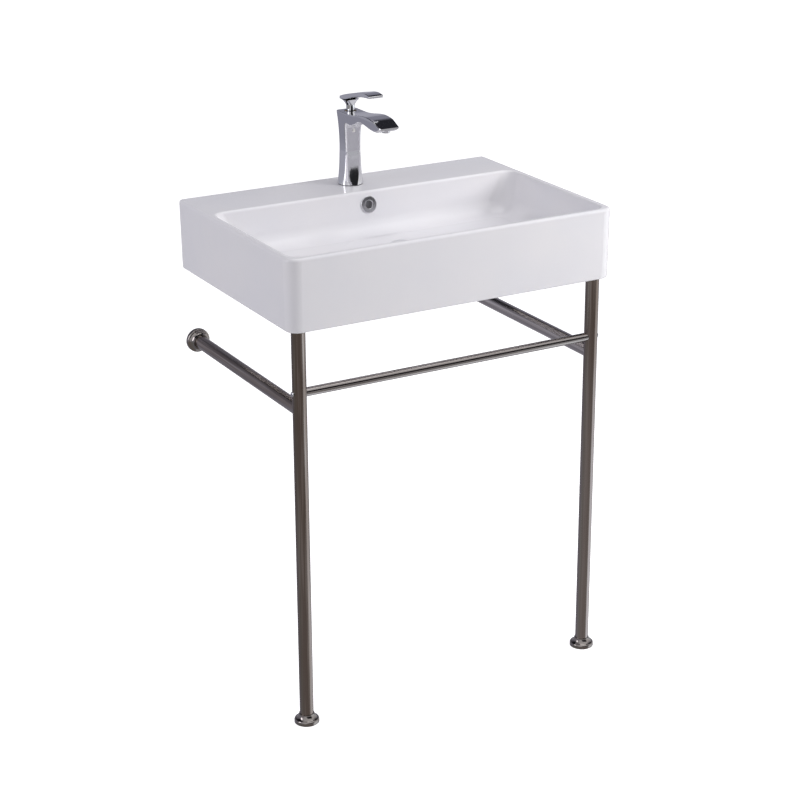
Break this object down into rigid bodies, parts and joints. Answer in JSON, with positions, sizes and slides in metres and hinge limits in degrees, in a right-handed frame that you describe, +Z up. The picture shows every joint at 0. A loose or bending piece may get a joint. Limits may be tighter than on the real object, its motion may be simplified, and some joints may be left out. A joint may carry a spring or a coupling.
{
  "type": "console basin with stand and mixer tap",
  "caption": "Rectangular ceramic console basin on a polished tube stand with wall rails, towel bar, single-lever mixer tap and click waste.",
  "frame": {"origin": "on the floor, under the middle of the basin", "axes": "+Z up, +Y towards the wall, +X to the right seen from the front"},
  "size_m": [0.6498, 0.4499, 1.0606],
  "materials": {
    "glazed_ceramic": "glossy white glaze",
    "polished_steel": "mirror polished stainless steel",
    "tap_chrome": "polished chrome plate",
    "waste_chrome": "polished chrome plate",
    "machined_brass": "machined brass",
    "zinc_steel": "zinc-plated steel",
    "black_rubber": "matt black rubber",
    "cartridge_plastic": "moulded light grey plastic",
    "disc_ceramic": "lapped technical ceramic"
  },
  "bodies": {
    "fixed": {"basin": "glazed_ceramic", "overflow_ring": "waste_chrome", "waste_body": "waste_chrome", "waste_flange_seal": "black_rubber", "waste_tapered_seal": "black_rubber", "waste_back_nut": "machined_brass", "click_cartridge": "cartridge_plastic", "crossbar": "polished_steel", "crossbar_screws": "polished_steel", "crossbar_inserts": "polished_steel", "leg_plugs": "polished_steel", "leg_pads": "black_rubber", "rail_inserts": "machined_brass", "foot_inserts": "machined_brass", "wall_flange_rings": "black_rubber", "tap_body": "tap_chrome", "tap_base_gasket": "black_rubber", "aerator_body": "tap_chrome", "aerator_insert": "cartridge_plastic", "cartridge_housing": "cartridge_plastic", "fixed_disc": "disc_ceramic", "cartridge_nut": "machined_brass", "cover_ring": "tap_chrome", "fixing_stud": "zinc_steel", "clamp_rubber": "black_rubber", "clamp_plate": "zinc_steel", "clamp_nut": "machined_brass", "left_leg": "polished_steel", "right_leg": "polished_steel", "left_side_rail": "polished_steel", "right_side_rail": "polished_steel", "left_wall_flange": "polished_steel", "right_wall_flange": "polished_steel"},
    "swivel": {"spindle_carrier": "cartridge_plastic", "pivot_pin": "zinc_steel"},
    "lever_group": {"lever": "tap_chrome", "lever_stem": "zinc_steel", "lever_grub_screw": "zinc_steel", "lever_plug": "cartridge_plastic"},
    "moving_disc_group": {"moving_disc": "disc_ceramic"},
    "waste_cap_group": {"waste_cap": "waste_chrome", "waste_cap_seal": "black_rubber"},
    "left_foot_group": {"left_foot": "zinc_steel", "left_foot_pad": "black_rubber", "left_foot_flange": "polished_steel", "left_foot_ring": "black_rubber"},
    "right_foot_group": {"right_foot": "zinc_steel", "right_foot_pad": "black_rubber", "right_foot_flange": "polished_steel", "right_foot_ring": "black_rubber"}
  },
  "joints": [
    {"name": "lever_swivel", "type": "hinge", "parent": "fixed", "child": "swivel", "pos_m": [0, 0.164, 1.005], "axis": [0, 0, 1], "range_deg": [-45, 45]},
    {"name": "lever_lift", "type": "hinge", "parent": "swivel", "child": "lever_group", "pos_m": [0, 0.164, 1.005], "axis": [-1, 0, 0], "range_deg": [0, 17]},
    {"name": "disc_slide", "type": "slide", "parent": "swivel", "child": "moving_disc_group", "axis": [0, -1, 0], "range_m": [0, 0.00546]},
    {"name": "cap_press", "type": "slide", "parent": "fixed", "child": "waste_cap_group", "axis": [0, 0, 1], "range_m": [-0.007, 0], "stiffness_N_per_m": 150, "springref_m": 0.004},
    {"name": "left_foot_levelling", "type": "slide", "parent": "fixed", "child": "left_foot_group", "axis": [0, 0, -1], "range_m": [0, 0.012]},
    {"name": "right_foot_levelling", "type": "slide", "parent": "fixed", "child": "right_foot_group", "axis": [0, 0, -1], "range_m": [0, 0.012]}
  ],
  "couplings": [
    {"joint": "disc_slide", "follows": "lever_lift", "m_per_rad": 0.0184}
  ]
}
